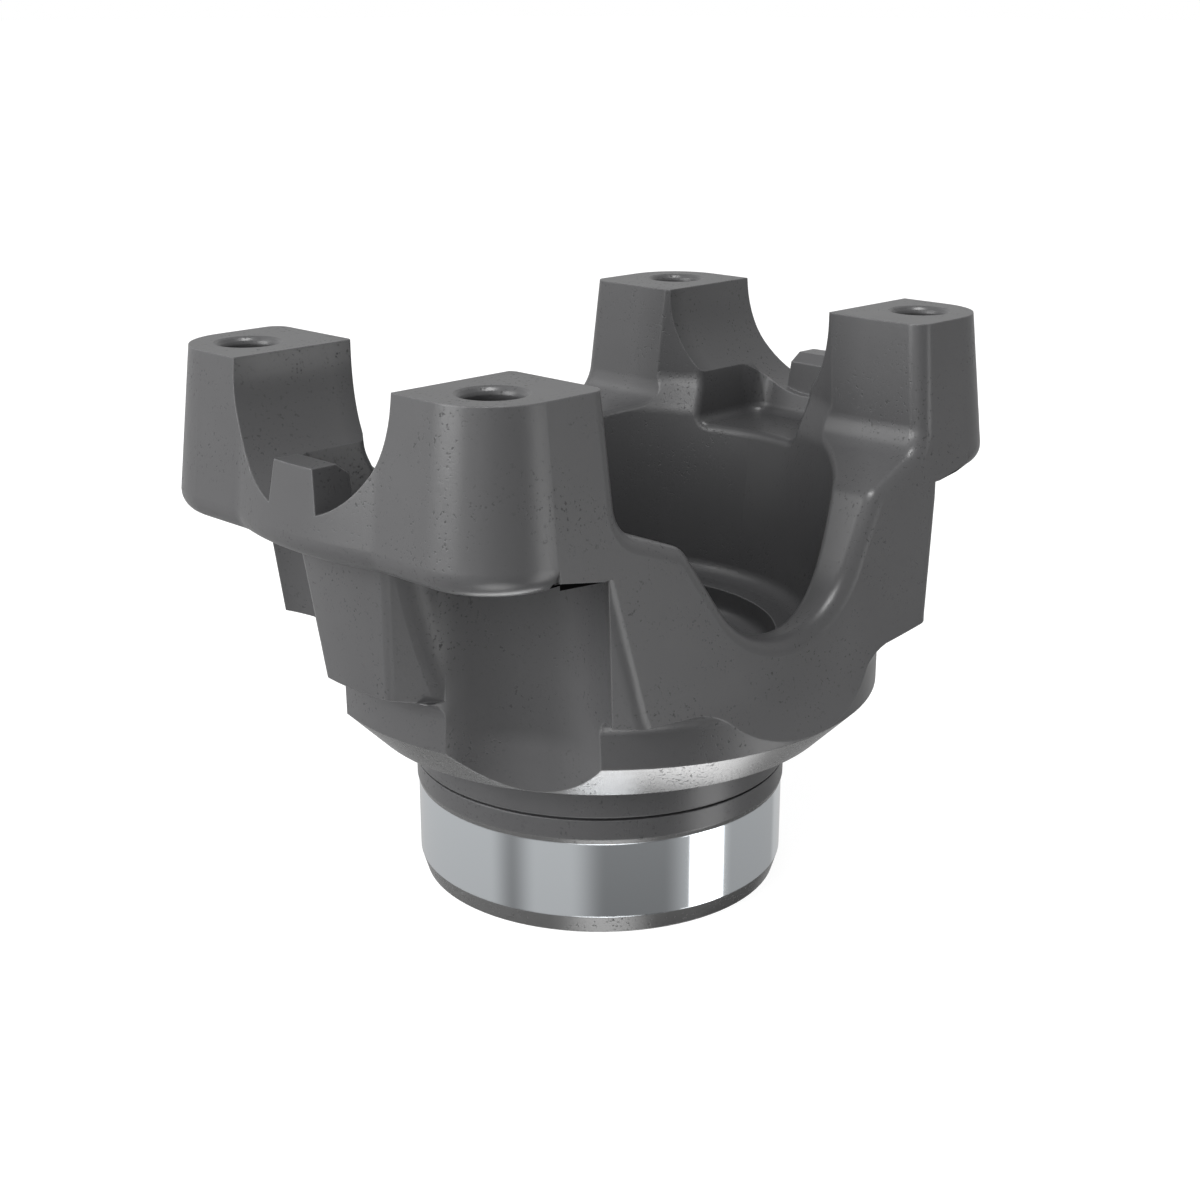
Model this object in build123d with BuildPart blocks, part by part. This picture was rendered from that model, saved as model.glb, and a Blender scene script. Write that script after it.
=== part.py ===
from build123d import *
import math
import os

os.makedirs("parts", exist_ok=True)

# Overall heights above the hub end face, millimetres
top_z = 126.0
ear_depth = 35.0
ear_under_z = top_z - ear_depth
body_low_z = 60.0
shoulder_z = 58.4
cone_top_z = 47.6
lip_z = 38.0
groove_z = 27.6
collar_low_z = 22.7
journal_top_z = 21.6

# Tapped holes for the bearing straps, one in each ear
hole_x = 66.0
hole_y = 37.75
hole_radius = 5.75
hole_mouth_width = 1.1
ear_corner_radius = 14.0
ear_rim = 12.7

# Draft of the forging dies
side_draft = 6.0
end_draft = 6.6
crown_draft = 6.1
web_draft = 6.6
cheek_draft = 7.3
scallop_draft = 1.4

# Outline of the ears and the belt under them
ear_outer_x = hole_x + ear_rim
ear_side_y = hole_y + ear_rim
belt_edge_radius = 4.5
crown_x = 81.95
crown_radius = 73.6
crown_blend = 10.0
cheek_end_x = 65.0
cheek_end_y = 53.9
run_out_z = ear_under_z + 2.06
run_out_root_y = 51.7
run_out_tip_x = 53.4
run_out_tip_y = 54.2
flare_start_z = 63.8

# Hub, seal journal and flange
journal_radius = 42.5
collar_radius = 42.85
neck_radius = 43.1
hub_end_radius = 41.24
hub_end_chamfer = 4.16
groove_width = 0.7
groove_depth = 1.2
lip_radius = 53.6
flange_radius = lip_radius + (cone_top_z - lip_z)

# Lower body between the flange and the ears
web_low_radius = 71.1
shoulder_radius = 4.0
web_half_width = 9.5
web_flank_angle = 34.0
web_flank_draft = 8.5
web_crease_radius = 2.5
web_blend_radius = 12.0
cheek_corner_radius = 4.0
cheek_low_x = 46.4
cheek_low_y = 57.85
cheek_facet_angle = 32.7
cheek_reach = ear_outer_x + 5.3
cheek_reach_z = body_low_z + 2.0
cheek_inner_y = 38.0
scallop_radius = 22.4

# Bearing saddles
saddle_radius = 24.5
saddle_z = top_z - 2.0
tab_base_half = 7.6
tab_height_z = top_z - 16.6
tab_inner_x = 75.0
tab_side_draft = 9.0
tab_chamfer_x = 2.8
tab_chamfer_z = 2.2

# Recess in the inner half of each saddle floor
pocket_floor_z = ear_under_z + 3.0
pocket_half_width = 14.9
pocket_back_x = 72.0
pocket_draft = 9.0
pocket_corner_radius = 4.5
pocket_floor_radius = 2.8
pocket_lip_radius = 2.0

# Bowl between the ears and the counterbore in its floor
bowl_mouth_radius = 55.3
bowl_mouth_low_z = ear_under_z + 13.0
bowl_shelf_radius = bowl_mouth_radius - 3.0
bowl_shelf_z = ear_under_z + 6.0
bowl_shelf_blend = 9.0
bowl_low_radius = bowl_mouth_radius - 7.1
bowl_floor_z = 56.7
bowl_root_radius = 4.0
counterbore_radius = bowl_low_radius - 7.9
counterbore_z = 50.0
counterbore_root_radius = 3.0

# Splined bore
spline_teeth = 39
spline_major_radius = 29.4
spline_minor_radius = 28.0
spline_gap_width = 2.3

# Valleys through the two side walls
valley_bottom_z = 67.4
valley_arc_radius = 25.0
valley_side_angle = 56.1
valley_shoulder_x = bowl_mouth_radius - 25.3
valley_ledge_rise = 21.0
valley_wall_x = bowl_mouth_radius - 7.5
valley_wall_top_x = valley_wall_x + 1.2
valley_shoulder_radius = 6.0
valley_root_radius = 7.0
valley_edge_radius = 3.6
ridge_radius = 1.5


def at_draft(distance, degrees):
    """Sideways growth of a drafted wall over a height."""
    return distance * math.tan(math.radians(degrees))


def on_side_wall(point):
    """True for a point on one of the two drafted side walls."""
    wall_y = ear_side_y + at_draft(top_z - point.Z, side_draft)
    return abs(abs(point.Y) - wall_y) < 0.05


def on_ridge(point):
    """True for a point on the crest where a valley meets the bowl."""
    in_plan = bowl_low_radius - 1 < math.hypot(point.X, point.Y) < bowl_mouth_radius + 0.2
    in_valley = abs(point.X) < valley_wall_top_x + 0.3 and abs(point.Y) > saddle_radius
    return in_plan and in_valley and valley_bottom_z - 1 < point.Z < top_z + 0.1


def on_pocket_lip(point):
    """True for a point on the edge where a saddle recess opens into the bowl."""
    in_plan = bowl_low_radius + 1 < math.hypot(point.X, point.Y) and abs(point.X) < bowl_mouth_radius + 1
    in_pocket = abs(point.Y) < pocket_half_width + 2.5
    return in_plan and in_pocket and pocket_floor_z - 1 < point.Z < pocket_floor_z + 12


def diamond(distance, normal):
    """Corners of four flat flanks, each at a distance from the axis, its normal at an angle to X."""
    tip_x = distance / math.cos(normal)
    tip_y = distance / math.sin(normal)
    return (tip_x, 0), (0, tip_y), (-tip_x, 0), (0, -tip_y)


# Plan outline of the ears, growing downwards with the die draft
end_growth = at_draft(ear_depth, end_draft)
side_growth = at_draft(ear_depth, side_draft)
with BuildPart() as ears:
    with BuildSketch(Plane.XY.offset(top_z)):
        RectangleRounded(2 * ear_outer_x, 2 * ear_side_y, ear_corner_radius)
    with BuildSketch(Plane.XY.offset(ear_under_z)):
        RectangleRounded(2 * (ear_outer_x + end_growth), 2 * (ear_side_y + side_growth),
                         ear_corner_radius + side_growth)
    loft(ruled=True)

# Crowned middle of each end wall under the saddle
crown_centre_x = crown_x - crown_radius
crown_end_x = ear_outer_x - 6
crown_end_y = math.sqrt(crown_radius ** 2 - (crown_end_x - crown_centre_x) ** 2)
bend_y = math.sqrt(crown_radius ** 2 - (ear_outer_x - crown_centre_x) ** 2)
with BuildPart() as crowns:
    with BuildSketch(Plane.XY.offset(top_z)):
        with BuildLine():
            ThreePointArc((crown_end_x, -crown_end_y), (crown_x, 0), (crown_end_x, crown_end_y))
            Line((crown_end_x, crown_end_y), (-crown_end_x, crown_end_y))
            ThreePointArc((-crown_end_x, crown_end_y), (-crown_x, 0), (-crown_end_x, -crown_end_y))
            Line((-crown_end_x, -crown_end_y), (crown_end_x, -crown_end_y))
        make_face()
    extrude(amount=-ear_depth, taper=-crown_draft)

with BuildPart() as belt:
    add(ears.part)
    add(crowns.part)
    bends = [e for e in belt.edges() if abs(abs(e.center().Y) - bend_y) < crown_blend
             and e.bounding_box().size.Z > 0.8 * ear_depth]
    fillet(bends, crown_blend)
    low_loop = belt.faces().sort_by(Axis.Z)[0].outer_wire().edges()
    fillet(low_loop, belt_edge_radius)


# Flat side walls that run from the ears down to the flange
flare_start_y = ear_side_y + at_draft(top_z - flare_start_z, side_draft)
with BuildPart() as side_limit:
    with BuildSketch(Plane.YZ):
        with BuildLine():
            Line((0, top_z), (ear_side_y, top_z))
            Line((ear_side_y, top_z), (flare_start_y, flare_start_z))
            TangentArc((flare_start_y, flare_start_z), (flange_radius, cone_top_z),
                       tangent=(at_draft(1, side_draft), -1))
            Line((flange_radius, cone_top_z), (0, cone_top_z))
            Line((0, cone_top_z), (0, top_z))
        make_face()
        mirror(about=Plane.YZ)
    extrude(amount=2 * flange_radius, both=True)

# Unrounded middle of the side walls, with a slanted run-out at each end
run_out_inner = cheek_end_x - cheek_end_y
with BuildPart() as run_outs:
    with BuildSketch(Plane.YZ.offset(cheek_end_x)):
        Polygon((run_out_root_y, ear_under_z), (cheek_end_y, run_out_z),
                (flange_radius, run_out_z), (flange_radius, ear_under_z), align=None)
    with BuildSketch(Plane.YZ.offset(run_out_tip_x)):
        Polygon((run_out_tip_y, ear_under_z), (run_out_tip_y + 0.01, ear_under_z + 0.01),
                (flange_radius, ear_under_z + 0.01), (flange_radius, ear_under_z), align=None)
    loft(ruled=True)
    mirror(about=Plane.XZ)
    mirror(about=Plane.YZ)

with BuildPart() as sides:
    add(side_limit.part)
    with BuildSketch(Plane.XY.offset(ear_under_z)):
        Polygon((run_out_inner, 0), (cheek_end_x, cheek_end_y), (cheek_end_x, flange_radius),
                (-cheek_end_x, flange_radius), (-cheek_end_x, cheek_end_y), (-run_out_inner, 0),
                (-cheek_end_x, -cheek_end_y), (-cheek_end_x, -flange_radius),
                (cheek_end_x, -flange_radius), (cheek_end_x, -cheek_end_y), align=None)
    extrude(amount=ear_depth, mode=Mode.INTERSECT)
    add(run_outs.part, mode=Mode.SUBTRACT)

# Round scallops under the holes, narrowing slightly upwards
with BuildPart() as scallops:
    with BuildSketch(Plane.XY.offset(lip_z)):
        with GridLocations(2 * hole_x, 2 * hole_y, 2, 2):
            Circle(scallop_radius)
    extrude(amount=ear_under_z - lip_z, taper=scallop_draft)

# Webs under the saddles, blended into the scallops
scallop_inner_x = hole_x - scallop_radius / 2
scallop_inner_y = hole_y - scallop_radius
web_normal = math.radians(90 - web_flank_angle)
web_distance = web_low_radius * math.cos(web_normal) + web_half_width * math.sin(web_normal)
with BuildPart() as webs:
    with BuildSketch(Plane.XZ):
        with BuildLine():
            Polyline((0, shoulder_z), (flange_radius, shoulder_z), (web_low_radius, body_low_z),
                     (web_low_radius + at_draft(ear_under_z - body_low_z, web_draft), ear_under_z),
                     (0, ear_under_z), close=True)
        make_face()
    revolve(axis=Axis.Z)
    with BuildSketch(Plane.XY.offset(shoulder_z)):
        Polygon(*diamond(web_distance, web_normal), align=None)
    extrude(amount=ear_under_z - shoulder_z, taper=-web_flank_draft, mode=Mode.INTERSECT)
    add(side_limit.part, mode=Mode.INTERSECT)
    add(scallops.part, mode=Mode.SUBTRACT)
    upright = webs.edges().filter_by(lambda e: e.bounding_box().size.Z > 20)
    fillet(upright.filter_by(lambda e: scallop_inner_x < abs(e.center().X) < web_low_radius - 2
                             and abs(e.center().Y) < scallop_inner_y + 7), web_blend_radius)
    upright = webs.edges().filter_by(lambda e: e.bounding_box().size.Z > 20)
    fillet(upright.filter_by(lambda e: abs(e.center().X) > web_low_radius - 2
                             and abs(e.center().Y) < scallop_inner_y), web_crease_radius)

# Cheeks beside the scallops, trimmed to the side walls
cheek_normal = math.radians(cheek_facet_angle)
cheek_distance = cheek_low_x * math.cos(cheek_normal) + cheek_low_y * math.sin(cheek_normal)
with BuildPart() as cheeks:
    with BuildSketch(Plane.XZ):
        with BuildLine():
            Polyline((0, shoulder_z), (flange_radius, shoulder_z), (cheek_reach, cheek_reach_z),
                     (cheek_reach, ear_under_z), (0, ear_under_z), close=True)
        make_face()
    revolve(axis=Axis.Z)
    with BuildSketch(Plane.XY.offset(shoulder_z)):
        Polygon(*diamond(cheek_distance - at_draft(body_low_z - shoulder_z, cheek_draft),
                         cheek_normal), align=None)
    extrude(amount=ear_under_z - shoulder_z, taper=-cheek_draft, mode=Mode.INTERSECT)
    with BuildSketch(Plane.XY.offset(shoulder_z)):
        with Locations((0, cheek_inner_y + flange_radius), (0, -cheek_inner_y - flange_radius)):
            Rectangle(2 * cheek_end_x, 2 * flange_radius)
    extrude(amount=ear_under_z - shoulder_z, mode=Mode.INTERSECT)
    add(side_limit.part, mode=Mode.INTERSECT)
    add(scallops.part, mode=Mode.SUBTRACT)
    upright = cheeks.edges().filter_by(lambda e: e.bounding_box().size.Z > 3)
    fillet(upright.filter_by(lambda e: abs(e.center().X) > cheek_low_x - 2
                             and abs(e.center().Y) > cheek_low_y - 3.3), cheek_corner_radius)

# Lower body with the hub and the flange
skirt_radius = flange_radius + shoulder_radius
skirt_z = shoulder_z + shoulder_radius * (body_low_z - shoulder_z) / (web_low_radius - flange_radius)
with BuildPart() as body:
    with Locations((0, 0, cone_top_z)):
        Cylinder(flange_radius, ear_under_z - cone_top_z,
                 align=(Align.CENTER, Align.CENTER, Align.MIN))
    with BuildSketch(Plane.XZ) as skirt:
        with BuildLine():
            Polyline((0, cone_top_z), (flange_radius, cone_top_z), (flange_radius, shoulder_z),
                     (skirt_radius, skirt_z), (0, skirt_z), close=True)
        make_face()
        fillet(skirt.vertices().sort_by_distance((flange_radius, shoulder_z))[0], shoulder_radius)
    revolve(axis=Axis.Z)
    add(side_limit.part, mode=Mode.INTERSECT)
    with BuildSketch(Plane.XZ):
        with BuildLine():
            Polyline((0, 0), (hub_end_radius, 0), (journal_radius, hub_end_chamfer),
                     (journal_radius, journal_top_z), (collar_radius, collar_low_z),
                     (collar_radius, groove_z - groove_width / 2),
                     (collar_radius - groove_depth, groove_z - groove_width / 2),
                     (collar_radius - groove_depth, groove_z + groove_width / 2),
                     (neck_radius, groove_z + groove_width / 2),
                     (neck_radius, lip_z), (lip_radius, lip_z),
                     (flange_radius, cone_top_z), (0, cone_top_z), close=True)
        make_face()
    revolve(axis=Axis.Z)
    add(scallops.part, mode=Mode.SUBTRACT)
    add(webs.part)
    add(cheeks.part)

# Recess in the inner half of the saddle floors, cut from both arms at once
with BuildPart() as pocket:
    with BuildSketch(Plane.XY.offset(pocket_floor_z)):
        RectangleRounded(2 * pocket_back_x, 2 * pocket_half_width, pocket_corner_radius)
    extrude(amount=saddle_z - pocket_floor_z, taper=-pocket_draft)
    fillet(pocket.faces().sort_by(Axis.Z)[0].edges(), pocket_floor_radius)

# Stop tabs that rise from the outer ends of the saddles
saddle_low_z = saddle_z - saddle_radius
tab_low_z = saddle_low_z - 2
tab_low_half = tab_base_half + at_draft(saddle_low_z - tab_low_z, tab_side_draft)
tab_top_half = tab_base_half - at_draft(tab_height_z - saddle_low_z, tab_side_draft)
with BuildPart() as tab:
    with BuildSketch(Plane.XZ):
        with BuildLine():
            Polyline((tab_inner_x, tab_low_z), (tab_inner_x, tab_height_z - tab_chamfer_z),
                     (tab_inner_x + tab_chamfer_x, tab_height_z),
                     (crown_x + at_draft(top_z - tab_height_z, crown_draft), tab_height_z),
                     (crown_x + at_draft(top_z - tab_low_z, crown_draft), tab_low_z),
                     close=True)
        make_face()
    extrude(amount=tab_low_half, both=True)
    with BuildSketch(Plane.YZ):
        with BuildLine():
            Polyline((-tab_low_half, tab_low_z), (tab_low_half, tab_low_z),
                     (tab_top_half, tab_height_z), (-tab_top_half, tab_height_z), close=True)
        make_face()
    extrude(amount=2 * ear_outer_x, mode=Mode.INTERSECT)
    add(crowns.part, mode=Mode.INTERSECT)

# One forging from the belt, the side walls and the lower body
with BuildPart() as yoke:
    add(belt.part)
    add(sides.part)
    add(body.part)

    # Valleys through both side walls
    valley_slope = math.tan(math.radians(valley_side_angle))
    arc_end_x = valley_arc_radius * math.sin(math.radians(valley_side_angle))
    arc_end_z = valley_bottom_z + valley_arc_radius * (1 - math.cos(math.radians(valley_side_angle)))
    valley_shoulder_z = arc_end_z + (valley_shoulder_x - arc_end_x) * valley_slope
    valley_wall_z = valley_shoulder_z + at_draft(valley_wall_x - valley_shoulder_x, valley_ledge_rise)
    with BuildSketch(Plane.XZ) as valley:
        with BuildLine():
            RadiusArc((-arc_end_x, arc_end_z), (arc_end_x, arc_end_z), -valley_arc_radius)
            Polyline((arc_end_x, arc_end_z), (valley_shoulder_x, valley_shoulder_z),
                     (valley_wall_x, valley_wall_z), (valley_wall_top_x, top_z + 1),
                     (-valley_wall_top_x, top_z + 1), (-valley_wall_x, valley_wall_z),
                     (-valley_shoulder_x, valley_shoulder_z), (-arc_end_x, arc_end_z))
        make_face()
        for side in (-1, 1):
            shoulder = valley.vertices().sort_by_distance((side * valley_shoulder_x, valley_shoulder_z))[0]
            fillet(shoulder, valley_shoulder_radius)
            root = valley.vertices().sort_by_distance((side * valley_wall_x, valley_wall_z))[0]
            fillet(root, valley_root_radius)
    extrude(amount=2 * flange_radius, both=True, mode=Mode.SUBTRACT)

    # Bearing saddles bored along the cross axis
    with BuildSketch(Plane.YZ):
        with Locations((0, saddle_z)):
            Circle(saddle_radius)
            Rectangle(2 * saddle_radius, 2 * (top_z - saddle_z) + 2,
                      align=(Align.CENTER, Align.MIN))
    extrude(amount=2 * ear_outer_x, both=True, mode=Mode.SUBTRACT)
    add(tab.part)
    add(mirror(tab.part, about=Plane.YZ, mode=Mode.PRIVATE))

    # Bowl with the counterbore
    with BuildSketch(Plane.XZ) as bowl:
        with BuildLine():
            Polyline((0, top_z + 2), (bowl_mouth_radius, top_z + 2),
                     (bowl_mouth_radius, bowl_mouth_low_z), (bowl_shelf_radius, bowl_shelf_z),
                     (bowl_low_radius, bowl_floor_z), (counterbore_radius, bowl_floor_z),
                     (counterbore_radius, counterbore_z), (0, counterbore_z), close=True)
        make_face()
        fillet(bowl.vertices().sort_by_distance((bowl_mouth_radius, bowl_mouth_low_z))[0],
               bowl_shelf_blend)
        fillet(bowl.vertices().sort_by_distance((bowl_shelf_radius, bowl_shelf_z))[0],
               bowl_shelf_blend)
        fillet(bowl.vertices().sort_by_distance((bowl_low_radius, bowl_floor_z))[0], bowl_root_radius)
        fillet(bowl.vertices().sort_by_distance((counterbore_radius, counterbore_z))[0],
               counterbore_root_radius)
    revolve(axis=Axis.Z, mode=Mode.SUBTRACT)
    add(pocket.part, mode=Mode.SUBTRACT)

    # Tapped holes down through the ears into the scallops
    with Locations((0, 0, top_z)):
        with GridLocations(2 * hole_x, 2 * hole_y, 2, 2):
            Hole(radius=hole_radius, depth=ear_depth + 2)
    mouths = yoke.edges().filter_by(GeomType.CIRCLE).filter_by_position(Axis.Z, top_z - 0.1, top_z + 0.1)
    chamfer(mouths.filter_by(lambda e: abs(e.radius - hole_radius) < 0.01), hole_mouth_width)
    rims = yoke.edges().filter_by(GeomType.CIRCLE).filter_by_position(Axis.Z, top_z - 2, top_z + 0.1)
    chamfer(rims.filter_by(lambda e: e.radius < 2 * hole_radius), hole_mouth_width / 3)

    # Splined bore
    with BuildSketch(Plane.XY):
        Circle(spline_minor_radius)
        with PolarLocations(spline_minor_radius, spline_teeth):
            Rectangle(2 * (spline_major_radius - spline_minor_radius), spline_gap_width)
    extrude(amount=counterbore_z, mode=Mode.SUBTRACT)

    # Rounded outer edges of the valleys
    valley_edges = [e for e in yoke.edges()
                    if all(on_side_wall(e @ t) for t in (0, 0.5, 1))
                    and min((e @ 0).Z, (e @ 1).Z) > valley_bottom_z - 1
                    and abs((e @ 0.5).X) < valley_wall_top_x + 1
                    and (e @ 0.5).Z < top_z - 0.5]
    fillet(valley_edges, valley_edge_radius)
    ridge_edges = [e for e in yoke.edges()
                   if all(on_ridge(e @ t) for t in (0, 0.5, 1)) and (e @ 0.5).Z < top_z - 0.2]
    fillet(ridge_edges, ridge_radius)
    lip_edges = [e for e in yoke.edges() if all(on_pocket_lip(e @ t) for t in (0, 0.5, 1))]
    fillet(lip_edges, pocket_lip_radius)

yoke.part.label = "yoke"
export_step(yoke.part, "parts/yoke.step")
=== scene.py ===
import math

import bmesh
import bpy
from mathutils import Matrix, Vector

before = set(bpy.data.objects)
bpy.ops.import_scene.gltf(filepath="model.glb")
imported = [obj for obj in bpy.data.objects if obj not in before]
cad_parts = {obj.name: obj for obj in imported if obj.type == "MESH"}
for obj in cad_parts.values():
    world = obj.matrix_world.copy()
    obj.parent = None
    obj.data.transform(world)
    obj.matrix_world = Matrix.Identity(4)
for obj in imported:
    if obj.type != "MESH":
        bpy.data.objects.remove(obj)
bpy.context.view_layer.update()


# The yoke is one steel forging: two arms with half-round bearing saddles and four ears
# with strap holes, over a flanged hub. It comes from the dies with a dark oxide skin, and
# the saddles, ear tops, cone, neck, seal journal and bore are machined afterwards.
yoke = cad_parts["yoke"]

MM = 0.001
journal_radius = 42.5 * MM
journal_low = 4.16 * MM
journal_high = 21.6 * MM
collar_low = 22.7 * MM
lip_radius = 53.6 * MM
lip_height = 38.0 * MM
cone_top = 47.6 * MM
hole_x = 66.0 * MM
hole_y = 37.75 * MM
edge_radius = 0.5 * MM

# Painted shade darkens the inner faces; it sets in at the first of each two limits and is full
# at the second.
bowl_radii = (60.0 * MM, 50.0 * MM)
bowl_heights = (48.0 * MM, 52.0 * MM)
pocket_widths = (17.0 * MM, 15.0 * MM)
pocket_reaches = (72.4 * MM, 72.0 * MM)
pocket_heights = (92.0 * MM, 93.5 * MM)
hole_radii = (6.6 * MM, 5.9 * MM)
hole_heights = (125.2 * MM, 123.5 * MM)
pocket_share = 0.9

# The run-out under each ear is the facet within these limits, painted black as shade. The last
# pair is for the upright part of its normal.
run_out_x = (53.0 * MM, 65.6 * MM)
run_out_y = (51.3 * MM, 54.6 * MM)
run_out_z = (90.6 * MM, 93.4 * MM)
run_out_slope = (-0.86, -0.60)

dark_skin = (0.064, 0.064, 0.066, 1)
pale_skin = (0.078, 0.078, 0.080, 1)
# Painted shade for the bowl, the pockets and the strap holes.
inner_painted_shade = (0.022, 0.022, 0.023, 1)
turned_steel = (0.13, 0.13, 0.13, 1)
speck_black = (0.018, 0.018, 0.018, 1)
# Edges painted lighter, partly as wear and partly as a painted highlight.
edge_wear_and_highlight = (0.20, 0.20, 0.205, 1)
# Painted black shade for the run-out facets under the ears.
run_out_painted_shade = (0.003, 0.003, 0.003, 1)
ground_steel = (0.78, 0.815, 0.845, 1)
inner_share = 0.6
speck_share = 0.45
edge_wear_and_highlight_share = 0.55
turned_metallic = 0.3

# An edge is painted lighter, partly as wear and partly as a painted highlight, where its rounded
# normal leaves the face's own, by their dot product.
edge_wear_and_highlight_limits = (0.985, 0.86)

tone_limits = (0.3, 0.7)
skin_roughness = (0.29, 0.35)
speck_roughness = 0.2
turned_smoothing = 0.08
journal_smoothing = 0.8
skin_sheen = 0.5
speck_dulling = 0.5
inner_dulling = 0.4
pit_depth = 0.06 * MM
pit_strength = 0.5

# Scales are in repeats to the metre. A mask rises from the first of two limits to the
# second, and the pits are fainter outside the patches of specks than inside them.
patch_scale = 90.0
patch_limits = (0.40, 0.62)
pit_scale = 1150.0
pit_wall = (0.34, 0.16)
pit_choice = (0.86, 0.93)
pit_shares = (0.15, 0.9)
speck_scale = 1300.0
speck_limits = (0.61, 0.70)
tone_scale = 28.0
grain_scale = 1600.0
grain_share = 0.35


def add_socket(group, name, kind, direction):
    """A named input or output of a shader group."""
    return group.interface.new_socket(name=name, in_out=direction, socket_type=kind)


def math_node(tree, operation, *values):
    """A Math node whose inputs are sockets or plain numbers."""
    node = tree.nodes.new("ShaderNodeMath")
    node.operation = operation
    for slot, value in zip(node.inputs, values):
        if isinstance(value, (int, float)):
            slot.default_value = value
        else:
            tree.links.new(value, slot)
    return node.outputs[0]


def times(tree, first, *others):
    """Masks or numbers multiplied together."""
    for other in others:
        first = math_node(tree, "MULTIPLY", first, other)
    return first


def plus(tree, first, second):
    return math_node(tree, "ADD", first, second)


def minus(tree, first, second):
    return math_node(tree, "SUBTRACT", first, second)


def either(tree, first, second):
    """The stronger of two masks."""
    return math_node(tree, "MAXIMUM", first, second)


def distance(tree, across, along):
    """How far a point lies from an axis, from its two offsets."""
    squares = plus(tree, times(tree, across, across), times(tree, along, along))
    return math_node(tree, "SQRT", squares)


def ramp(tree, value, low, high, to_low=0.0, to_high=1.0):
    """A value carried from one range to another and held at both ends."""
    node = tree.nodes.new("ShaderNodeMapRange")
    node.inputs["From Min"].default_value = low
    node.inputs["From Max"].default_value = high
    node.inputs["To Min"].default_value = to_low
    node.inputs["To Max"].default_value = to_high
    tree.links.new(value, node.inputs["Value"])
    return node.outputs["Result"]


def band(tree, value, low, high, soft):
    """1 where a value lies between two limits, with soft edges."""
    rise = ramp(tree, value, low - soft, low + soft)
    fall = ramp(tree, value, high - soft, high + soft, 1.0, 0.0)
    for edge in (rise, fall):
        edge.node.interpolation_type = "SMOOTHSTEP"
    return times(tree, rise, fall)


def noise(tree, vector, scale, detail, rough=0.5):
    """Cloudy noise of a given scale, around 0.5."""
    node = tree.nodes.new("ShaderNodeTexNoise")
    node.inputs["Scale"].default_value = scale
    node.inputs["Detail"].default_value = detail
    node.inputs["Roughness"].default_value = rough
    tree.links.new(vector, node.inputs["Vector"])
    return node.outputs["Fac"]


def mix_colour(tree, factor, first, second):
    """A colour mix by a mask, whose ends are sockets or plain colours."""
    node = tree.nodes.new("ShaderNodeMix")
    node.data_type = "RGBA"
    colour_inputs = [socket for socket in node.inputs if socket.type == "RGBA"]
    tree.links.new(factor, node.inputs[0])
    for socket, value in zip(colour_inputs, (first, second)):
        if isinstance(value, tuple):
            socket.default_value = value
        else:
            tree.links.new(value, socket)
    return [socket for socket in node.outputs if socket.type == "RGBA"][0]


def forged_skin_group():
    """The die skin: pits, dark specks and slow changes of tone, as masks and a height."""
    group = bpy.data.node_groups.new("forged_skin", "ShaderNodeTree")
    add_socket(group, "Vector", "NodeSocketVector", "INPUT")
    for name in ("Specks", "Tone", "Height"):
        add_socket(group, name, "NodeSocketFloat", "OUTPUT")
    where = group.nodes.new("NodeGroupInput").outputs["Vector"]
    leave = group.nodes.new("NodeGroupOutput")

    patch = ramp(group, noise(group, where, patch_scale, detail=2.0), *patch_limits)
    cells = group.nodes.new("ShaderNodeTexVoronoi")
    cells.inputs["Scale"].default_value = pit_scale
    group.links.new(where, cells.inputs["Vector"])
    chosen = group.nodes.new("ShaderNodeSeparateColor")
    group.links.new(cells.outputs["Color"], chosen.inputs[0])
    pits = times(group, ramp(group, cells.outputs["Distance"], *pit_wall),
                 ramp(group, chosen.outputs[0], *pit_choice),
                 ramp(group, patch, 0.0, 1.0, *pit_shares))
    fine = noise(group, where, speck_scale, detail=2.0)
    specks = times(group, ramp(group, fine, *speck_limits), patch)
    specks = either(group, specks, pits)
    tone = noise(group, where, tone_scale, detail=3.0, rough=0.6)
    grain = noise(group, where, grain_scale, detail=3.0)
    height = minus(group, times(group, grain, grain_share), specks)
    group.links.new(specks, leave.inputs["Specks"])
    group.links.new(tone, leave.inputs["Tone"])
    group.links.new(height, leave.inputs["Height"])
    return group


def journal_mask(tree, radius, z):
    """The ground wall of the journal."""
    soft = 0.05 * MM
    wall = band(tree, radius, journal_radius - 0.5 * MM, journal_radius + 1.5 * MM, soft)
    return times(tree, band(tree, z, journal_low, journal_high, soft), wall)


def turned_mask(tree, radius, z):
    """The turned cone under the flange, and the chamfered rims of the journal."""
    cone_soft = 0.03 * MM
    off_cone = minus(tree, radius, plus(tree, z, lip_radius - lip_height))
    turned = times(tree, band(tree, off_cone, -0.12 * MM, 0.6 * MM, cone_soft),
                   band(tree, z, lip_height - 0.1 * MM, cone_top + 0.05 * MM, cone_soft))
    rim_soft = 0.05 * MM
    wall = band(tree, radius, journal_radius - 1.5 * MM, journal_radius + 0.5 * MM, rim_soft)
    low_rim = (-1.0 * MM, journal_low - rim_soft)
    high_rim = (journal_high + rim_soft, collar_low + 0.1 * MM)
    for limits in (low_rim, high_rim):
        turned = either(tree, turned, times(tree, band(tree, z, *limits, rim_soft), wall))
    return turned


def inside_mask(tree, radius, reach_x, reach_y, z):
    """The bowl, the arms' inner pockets and the strap holes, where shade is painted in darker."""
    bowl = times(tree, ramp(tree, radius, *bowl_radii), ramp(tree, z, *bowl_heights))
    pocket = times(tree, ramp(tree, reach_y, *pocket_widths), ramp(tree, reach_x, *pocket_reaches),
                   ramp(tree, z, *pocket_heights), pocket_share)
    from_hole = distance(tree, minus(tree, reach_x, hole_x), minus(tree, reach_y, hole_y))
    hole = times(tree, ramp(tree, from_hole, *hole_radii), ramp(tree, z, *hole_heights))
    return either(tree, either(tree, bowl, pocket), hole)


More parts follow.
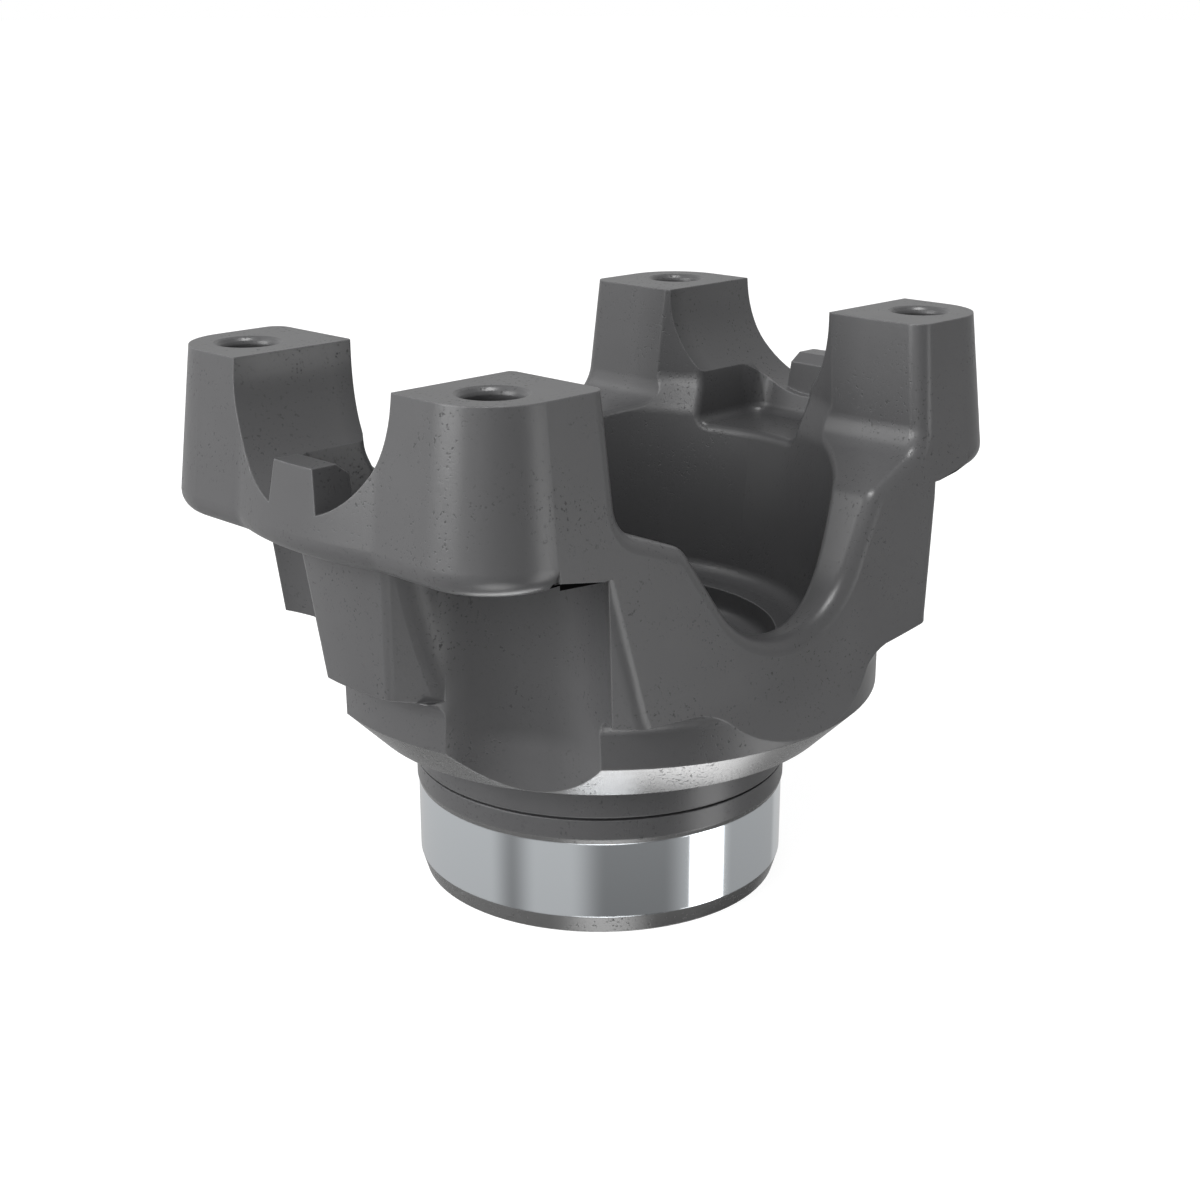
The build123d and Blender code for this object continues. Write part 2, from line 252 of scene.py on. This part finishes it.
def run_out_mask(tree, reach_x, reach_y, z, true_normal):
    """The small facets under the ears, where the scallops run out; they are painted black as
    shade.
    """
    slope = tree.nodes.new("ShaderNodeSeparateXYZ")
    tree.links.new(true_normal, slope.inputs[0])
    mask = band(tree, slope.outputs["Z"], *run_out_slope, soft=0.03)
    for value, limits in ((reach_x, run_out_x), (reach_y, run_out_y), (z, run_out_z)):
        mask = times(tree, mask, band(tree, value, *limits, soft=0.1 * MM))
    return mask


def yoke_material():
    """Dark die skin, turned and ground faces, edges painted lighter as wear and as highlight, and
    painted shade inside the hollows and on the run-outs.
    """
    material = bpy.data.materials.new("forged_steel")
    material.use_nodes = True
    tree = material.node_tree
    shader = tree.nodes["Principled BSDF"]
    where = tree.nodes.new("ShaderNodeTexCoord").outputs["Object"]
    split = tree.nodes.new("ShaderNodeSeparateXYZ")
    tree.links.new(where, split.inputs[0])
    x, y, z = split.outputs
    surface = tree.nodes.new("ShaderNodeNewGeometry")

    radius = distance(tree, x, y)
    reach_x = math_node(tree, "ABSOLUTE", x)
    reach_y = math_node(tree, "ABSOLUTE", y)
    journal = journal_mask(tree, radius, z)
    turned = turned_mask(tree, radius, z)
    inside = inside_mask(tree, radius, reach_x, reach_y, z)
    run_out = run_out_mask(tree, reach_x, reach_y, z, surface.outputs["True Normal"])

    rounded = tree.nodes.new("ShaderNodeBevel")
    rounded.samples = 4
    rounded.inputs["Radius"].default_value = edge_radius
    facing = tree.nodes.new("ShaderNodeVectorMath")
    facing.operation = "DOT_PRODUCT"
    tree.links.new(rounded.outputs["Normal"], facing.inputs[0])
    tree.links.new(surface.outputs["Normal"], facing.inputs[1])
    edge = ramp(tree, facing.outputs["Value"], *edge_wear_and_highlight_limits)

    skin = tree.nodes.new("ShaderNodeGroup")
    skin.node_tree = forged_skin_group()
    tree.links.new(where, skin.inputs["Vector"])
    specks = skin.outputs["Specks"]
    tone = skin.outputs["Tone"]

    colour = mix_colour(tree, tone, dark_skin, pale_skin)
    # Painted shade: the bowl, pockets and strap holes are darkened.
    colour = mix_colour(tree, times(tree, inside, inner_share), colour, inner_painted_shade)
    colour = mix_colour(tree, turned, colour, turned_steel)
    colour = mix_colour(tree, times(tree, specks, speck_share), colour, speck_black)
    # Edges painted lighter, partly as wear and partly as a painted highlight.
    colour = mix_colour(tree, times(tree, edge, edge_wear_and_highlight_share), colour, edge_wear_and_highlight)
    # Painted shade: the run-out facets under the ears are painted black.
    colour = mix_colour(tree, run_out, colour, run_out_painted_shade)
    colour = mix_colour(tree, journal, colour, ground_steel)
    tree.links.new(colour, shader.inputs["Base Color"])
    metallic = plus(tree, journal, times(tree, turned, turned_metallic))
    tree.links.new(metallic, shader.inputs["Metallic"])

    # The painted shade inside and on the run-outs also takes away the sheen there.
    dull = either(tree, run_out, times(tree, inside, inner_dulling))
    dull = either(tree, times(tree, specks, speck_dulling), dull)
    sheen = ramp(tree, dull, 0.0, 1.0, skin_sheen, 0.0)
    tree.links.new(sheen, shader.inputs["Specular IOR Level"])

    rough = ramp(tree, tone, *tone_limits, *skin_roughness)
    rough = plus(tree, rough, times(tree, specks, speck_roughness))
    rough = times(tree, rough, minus(tree, 1.0, times(tree, journal, journal_smoothing)))
    rough = minus(tree, rough, times(tree, turned, turned_smoothing))
    tree.links.new(rough, shader.inputs["Roughness"])

    bump = tree.nodes.new("ShaderNodeBump")
    bump.inputs["Distance"].default_value = pit_depth
    bump.inputs["Strength"].default_value = pit_strength
    tree.links.new(rounded.outputs["Normal"], bump.inputs["Normal"])
    height = times(tree, skin.outputs["Height"], minus(tree, 1.0, journal))
    tree.links.new(height, bump.inputs["Height"])
    tree.links.new(bump.outputs["Normal"], shader.inputs["Normal"])
    return material


yoke.data.materials.clear()
yoke.data.materials.append(yoke_material())


# The floor is a plain pale sheet. The camera sees it as white, with only a faint shadow
# under the hub, and mirrored rays pass through it to the lower half of the studio.
scene = bpy.context.scene

floor_size = 40.0
floor_grey = (0.7, 0.7, 0.7, 1)
floor_roughness = 0.9
floor_glow = 0.9
shadow_grey = (0.3, 0.3, 0.3, 1)
white = (1, 1, 1, 1)


def mix_shader(tree, factor, first, second):
    """The first shader where a mask is 0, the second where it is 1."""
    node = tree.nodes.new("ShaderNodeMixShader")
    for slot, value in zip(node.inputs, (factor, first, second)):
        tree.links.new(value, slot)
    return node.outputs["Shader"]


def floor_material():
    """Pale grey for the light that bounces off it, and glowing white for the camera."""
    material = bpy.data.materials.new("studio_floor")
    material.use_nodes = True
    tree = material.node_tree
    shader = tree.nodes["Principled BSDF"]
    shader.inputs["Base Color"].default_value = floor_grey
    shader.inputs["Roughness"].default_value = floor_roughness
    shader.inputs["Specular IOR Level"].default_value = 0.0
    glow = tree.nodes.new("ShaderNodeEmission")
    glow.inputs["Color"].default_value = white
    glow.inputs["Strength"].default_value = floor_glow
    dull = tree.nodes.new("ShaderNodeBsdfDiffuse")
    dull.inputs["Color"].default_value = shadow_grey
    lit = tree.nodes.new("ShaderNodeAddShader")
    tree.links.new(glow.outputs["Emission"], lit.inputs[0])
    tree.links.new(dull.outputs["BSDF"], lit.inputs[1])
    clear = tree.nodes.new("ShaderNodeBsdfTransparent")
    path = tree.nodes.new("ShaderNodeLightPath")
    seen = mix_shader(tree, path.outputs["Is Camera Ray"], shader.outputs["BSDF"],
                      lit.outputs["Shader"])
    seen = mix_shader(tree, path.outputs["Is Glossy Ray"], seen, clear.outputs["BSDF"])
    tree.links.new(seen, tree.nodes["Material Output"].inputs["Surface"])
    return material


sheet = bmesh.new()
bmesh.ops.create_grid(sheet, x_segments=1, y_segments=1, size=floor_size / 2)
floor_mesh = bpy.data.meshes.new("floor")
sheet.to_mesh(floor_mesh)
sheet.free()
floor = bpy.data.objects.new("floor", floor_mesh)
scene.collection.objects.link(floor)
floor.data.materials.append(floor_material())


# The studio round the yoke is a pale grey room. The ground journal mirrors its bright
# strip and darker cards as upright bands. Two bright patches below the floor's level are
# mirrored by the faces that look down, which are the cone and the chamfer of the hub.
room_bottom = 0.31
room_low = 0.56
room_side = 0.62
room_top = 0.3

# Heights are on a sphere of radius 1 round the yoke, and angles are in degrees. The
# room's light changes from one level to the next between two heights.
bottom_heights = (-0.4, -0.65)
side_heights = (-0.2, 0.15)
top_heights = (0.45, 0.95)
cone_patch = dict(azimuth=32.0, elevation=-67.0, full=6.0, edge=21.0, strength=5.0)
chamfer_patch = dict(azimuth=-130.0, elevation=-57.0, full=8.0, edge=21.0, strength=4.2)
bright_strip = dict(azimuth=-64.5, half_width=12.5, low=-0.7, high=-0.02,
                    soft_across=1.5, soft_up=0.1, strength=3.0)
left_panel = dict(azimuth=-165.0, half_width=20.0, low=0.2, high=0.6,
                  soft_across=12.0, soft_up=0.12, strength=2.0)
high_panel = dict(azimuth=140.0, half_width=20.0, low=0.5, high=0.8,
                  soft_across=12.0, soft_up=0.12, strength=2.2)
back_card = dict(azimuth=50.0, half_width=24.0, low=-0.1, high=0.17,
                 soft_across=10.0, soft_up=0.09, strength=-0.2)
front_card = dict(azimuth=-113.5, half_width=29.5, low=-0.8, high=0.3,
                  soft_across=12.0, soft_up=0.25, strength=-0.30)
left_card = dict(azimuth=-192.0, half_width=8.0, low=-0.8, high=0.3,
                 soft_across=9.0, soft_up=0.25, strength=-0.26)
right_card = dict(azimuth=-20.0, half_width=28.0, low=-0.8, high=0.3,
                  soft_across=4.0, soft_up=0.25, strength=-0.14)

world = bpy.data.worlds.new("studio")
scene.world = world
world.use_nodes = True
room = world.node_tree
background = room.nodes["Background"]
toward = room.nodes.new("ShaderNodeTexCoord").outputs["Generated"]
toward_split = room.nodes.new("ShaderNodeSeparateXYZ")
room.links.new(toward, toward_split.inputs[0])
toward_x, toward_y, toward_z = toward_split.outputs


def card(azimuth, half_width, low, high, soft_across, soft_up, strength):
    """The light that an upright card between two heights adds to the room, or takes."""
    turn = math.radians(azimuth)
    ahead = plus(room, times(room, toward_x, math.cos(turn)),
                 times(room, toward_y, math.sin(turn)))
    aside = minus(room, times(room, toward_y, math.cos(turn)),
                  times(room, toward_x, math.sin(turn)))
    angle = math_node(room, "ARCTAN2", aside, ahead)
    half = math.radians(half_width)
    wide = band(room, angle, -half, half, math.radians(soft_across))
    tall = band(room, toward_z, low, high, soft_up)
    return times(room, wide, tall, strength)


def spot(azimuth, elevation, full, edge, strength):
    """The light of a round patch, whole out to one angle from its middle and none past another."""
    turn = math.radians(azimuth)
    rise = math.radians(elevation)
    near = plus(room, times(room, toward_x, math.cos(turn) * math.cos(rise)),
                times(room, toward_y, math.sin(turn) * math.cos(rise)))
    near = plus(room, near, times(room, toward_z, math.sin(rise)))
    mask = ramp(room, near, math.cos(math.radians(edge)), math.cos(math.radians(full)))
    return times(room, mask, strength)


light = ramp(room, toward_z, *side_heights, room_low, room_side)
light = minus(room, light, ramp(room, toward_z, *top_heights, 0.0, room_side - room_top))
light = minus(room, light, ramp(room, toward_z, *bottom_heights, 0.0, room_low - room_bottom))
for patch in (cone_patch, chamfer_patch):
    light = plus(room, light, spot(**patch))
for panel in (bright_strip, left_panel, high_panel, back_card, front_card, left_card, right_card):
    light = plus(room, light, card(**panel))
light = either(room, light, 0.0)
sight = room.nodes.new("ShaderNodeLightPath").outputs["Is Camera Ray"]
shown = room.nodes.new("ShaderNodeMix")
shown.data_type = "FLOAT"
room.links.new(sight, shown.inputs[0])
room.links.new(light, shown.inputs[2])
shown.inputs[3].default_value = 1.0
room.links.new(shown.outputs[0], background.inputs["Strength"])
background.inputs["Color"].default_value = white


# Two soft square lamps aim at the middle of the yoke. The key stands well out on the left
# and lights the ears and walls from that side, and the top one lights the upper faces.
lamp_aim = Vector((0, 0, 0.08))


def soft_lamp(name, place, size, watts):
    lamp = bpy.data.lights.new(name, "AREA")
    lamp.shape = "SQUARE"
    lamp.size = size
    lamp.energy = watts
    holder = bpy.data.objects.new(name, lamp)
    scene.collection.objects.link(holder)
    holder.location = place
    holder.rotation_euler = (lamp_aim - Vector(place)).to_track_quat("-Z", "Y").to_euler()


soft_lamp("key", (-1.0, 0.27, 0.42), size=0.7, watts=9.0)
soft_lamp("top", (-0.1, -0.2, 1.2), size=0.35, watts=7.0)


# The camera stands where the photograph was taken from, a little above the ears. Its
# place and lens were fitted to the corners of the ears, the holes and the hub's circles.
camera_aim = Vector((0, 0, 0.06287))
camera_distance = 0.42257
camera_azimuth = math.radians(-135.389)
camera_elevation = math.radians(17.932)

camera_data = bpy.data.cameras.new("camera")
camera_data.lens = 55.32
camera_data.sensor_width = 36.0
camera = bpy.data.objects.new("camera", camera_data)
scene.collection.objects.link(camera)
away = Vector((math.cos(camera_elevation) * math.cos(camera_azimuth),
               math.cos(camera_elevation) * math.sin(camera_azimuth),
               math.sin(camera_elevation)))
camera.location = camera_aim + camera_distance * away
camera.rotation_euler = (-away).to_track_quat("-Z", "Y").to_euler()
scene.camera = camera

scene.view_settings.view_transform = "Standard"
